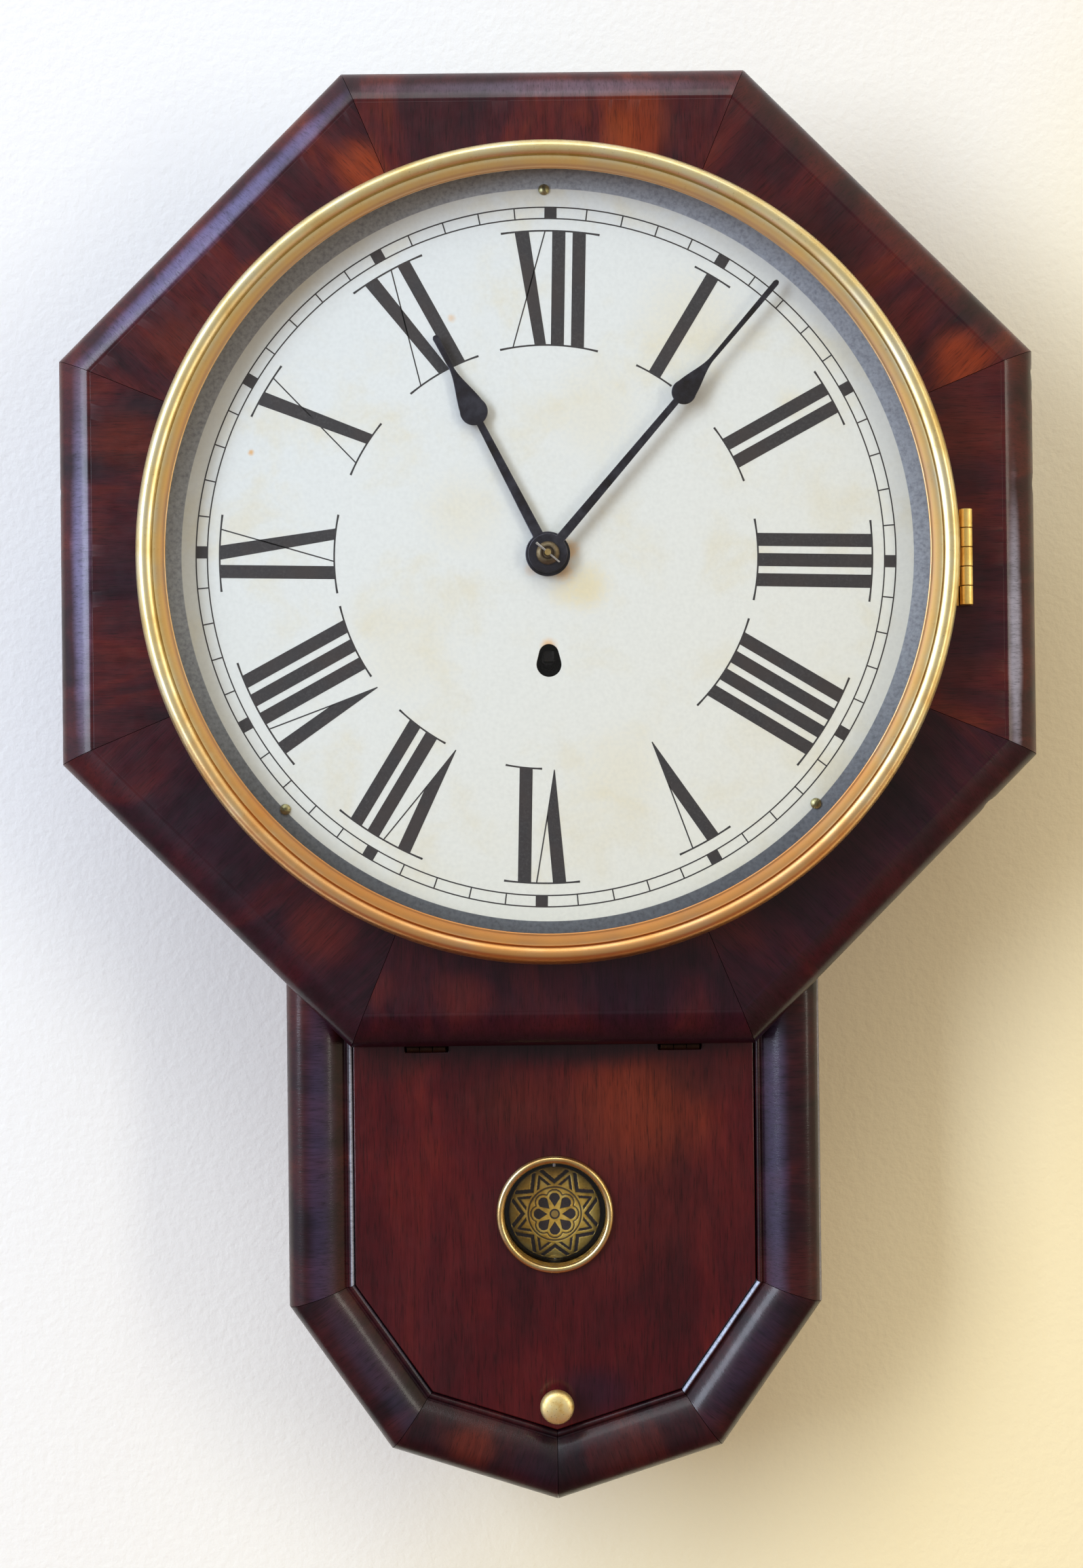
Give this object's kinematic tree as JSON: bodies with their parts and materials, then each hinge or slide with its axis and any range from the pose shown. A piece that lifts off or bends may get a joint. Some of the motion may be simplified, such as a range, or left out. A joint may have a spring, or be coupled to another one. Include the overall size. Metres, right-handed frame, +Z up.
{
  "type": "wall clock",
  "caption": "Drop octagon wall clock with a mitred octagonal head, hinged round bezel, numeral dial, pendulum movement and a drop with a glazed door.",
  "frame": {"origin": "point where the wall hook bears in the hanger plate's keyhole, in the plane of the wall", "axes": "+Z up along the height, -Y out of the wall towards the viewer, +X to the right as seen from the front"},
  "size_m": [0.411, 0.1144, 0.606],
  "materials": {
    "mahogany_veneer": "polished",
    "stained_pine": "matte",
    "aged_brass": "polished, aged",
    "movement_brass": "satin",
    "polished_steel": "polished",
    "blued_steel": "satin, blued black",
    "painted_zinc": "matt aged paint",
    "glass": "clear"
  },
  "bodies": {
    "case": {"head_segment_top": "mahogany_veneer", "head_segment_top_right": "mahogany_veneer", "head_segment_right": "mahogany_veneer", "head_segment_bottom_right": "mahogany_veneer", "head_segment_bottom": "mahogany_veneer", "head_segment_bottom_left": "mahogany_veneer", "head_segment_left": "mahogany_veneer", "head_segment_top_left": "mahogany_veneer", "head_box": "stained_pine", "backboard": "stained_pine", "hanger_plate": "polished_steel", "drop_moulding_right": "mahogany_veneer", "drop_moulding_lower_right": "mahogany_veneer", "drop_moulding_bottom_right": "mahogany_veneer", "drop_moulding_bottom_left": "mahogany_veneer", "drop_moulding_lower_left": "mahogany_veneer", "drop_moulding_left": "mahogany_veneer", "drop_side_left": "stained_pine", "drop_side_right": "stained_pine", "drop_bottom_board": "stained_pine", "door_hinge_left_case_leaf": "aged_brass", "door_hinge_right_case_leaf": "aged_brass", "bezel_hinge_case_leaf": "aged_brass", "bezel_catch_spring": "aged_brass", "dial": "painted_zinc", "dial_screw_top": "aged_brass", "dial_screw_lower_left": "aged_brass", "dial_screw_lower_right": "aged_brass", "movement_back_plate": "movement_brass", "movement_front_plate": "movement_brass", "suspension_cock": "movement_brass"},
    "bezel": {"bezel_ring": "aged_brass", "bezel_glass": "glass", "glass_retaining_ring": "aged_brass", "bezel_hinge_bezel_leaf": "aged_brass"},
    "door": {"door": "mahogany_veneer", "window_glass": "glass", "window_ring": "aged_brass", "door_hinge_left_door_leaf": "aged_brass", "door_hinge_right_door_leaf": "aged_brass"},
    "door_catch": {"door_knob": "aged_brass", "door_catch_tongue": "aged_brass"},
    "minute_arbor": {"centre_wheel_arbor": "movement_brass", "cannon_pinion": "movement_brass", "minute_hand": "blued_steel", "hand_collet": "aged_brass", "hand_taper_pin": "polished_steel"},
    "hour_wheel_and_hand": {"hour_wheel": "movement_brass", "hour_hand": "blued_steel"},
    "minute_wheel": {"minute_wheel": "movement_brass"},
    "barrel": {"barrel_great_wheel": "movement_brass"},
    "third_wheel": {"third_wheel_arbor": "movement_brass"},
    "escape_wheel": {"escape_wheel_arbor": "movement_brass"},
    "anchor": {"anchor_and_crutch": "polished_steel"},
    "pendulum": {"suspension_spring": "polished_steel", "pendulum_rod": "polished_steel", "pendulum_bob": "aged_brass"},
    "winding_arbor": {"winding_arbor": "polished_steel"},
    "click": {"click": "polished_steel"}
  },
  "joints": [
    {"name": "bezel_swing", "type": "hinge", "parent": "case", "child": "bezel", "pos_m": [0.1738, -0.0994, -0.153], "axis": [0, 0, 1], "range_deg": [0, 115]},
    {"name": "door_lift", "type": "hinge", "parent": "case", "child": "door", "pos_m": [0, -0.0786, -0.3573], "axis": [-1, 0, 0], "range_deg": [0, 85]},
    {"name": "door_catch_turn", "type": "hinge", "parent": "door", "child": "door_catch", "pos_m": [0, -0.07, -0.5084], "axis": [0, 1, 0], "range_deg": [0, 90]},
    {"name": "minute_arbor_turn", "type": "hinge", "parent": "case", "child": "minute_arbor", "pos_m": [0, 0, -0.15], "axis": [0, 1, 0], "continuous": true},
    {"name": "hour_turn", "type": "hinge", "parent": "case", "child": "hour_wheel_and_hand", "pos_m": [0, 0, -0.15], "axis": [0, 1, 0], "continuous": true},
    {"name": "minute_wheel_turn", "type": "hinge", "parent": "case", "child": "minute_wheel", "pos_m": [0.012, 0, -0.15], "axis": [0, 1, 0], "continuous": true},
    {"name": "barrel_turn", "type": "hinge", "parent": "case", "child": "barrel", "pos_m": [0, 0, -0.192], "axis": [0, 1, 0], "continuous": true},
    {"name": "third_wheel_turn", "type": "hinge", "parent": "case", "child": "third_wheel", "pos_m": [0.0092, 0, -0.12953], "axis": [0, 1, 0], "continuous": true},
    {"name": "escape_wheel_turn", "type": "hinge", "parent": "case", "child": "escape_wheel", "pos_m": [0, 0, -0.112], "axis": [0, 1, 0], "continuous": true},
    {"name": "winding_turn", "type": "hinge", "parent": "case", "child": "winding_arbor", "pos_m": [0, 0, -0.192], "axis": [0, 1, 0], "continuous": true},
    {"name": "click_lift", "type": "hinge", "parent": "case", "child": "click", "pos_m": [-0.0155, 0, -0.186], "axis": [0, -1, 0], "range_deg": [0, 20]},
    {"name": "pendulum_swing", "type": "hinge", "parent": "case", "child": "pendulum", "pos_m": [0, 0, -0.093], "axis": [0, 1, 0], "range_deg": [-3, 3]},
    {"name": "anchor_rock", "type": "hinge", "parent": "case", "child": "anchor", "pos_m": [0, 0, -0.093], "axis": [0, 1, 0], "range_deg": [-3, 3]}
  ],
  "couplings": [
    {"joint": "hour_turn", "follows": "minute_arbor_turn", "ratio": 0.083333},
    {"joint": "minute_wheel_turn", "follows": "minute_arbor_turn", "ratio": -0.33333},
    {"joint": "barrel_turn", "follows": "minute_arbor_turn", "ratio": -0.083333},
    {"joint": "third_wheel_turn", "follows": "minute_arbor_turn", "ratio": -10},
    {"joint": "escape_wheel_turn", "follows": "minute_arbor_turn", "ratio": 90},
    {"joint": "anchor_rock", "follows": "pendulum_swing", "ratio": 1}
  ]
}
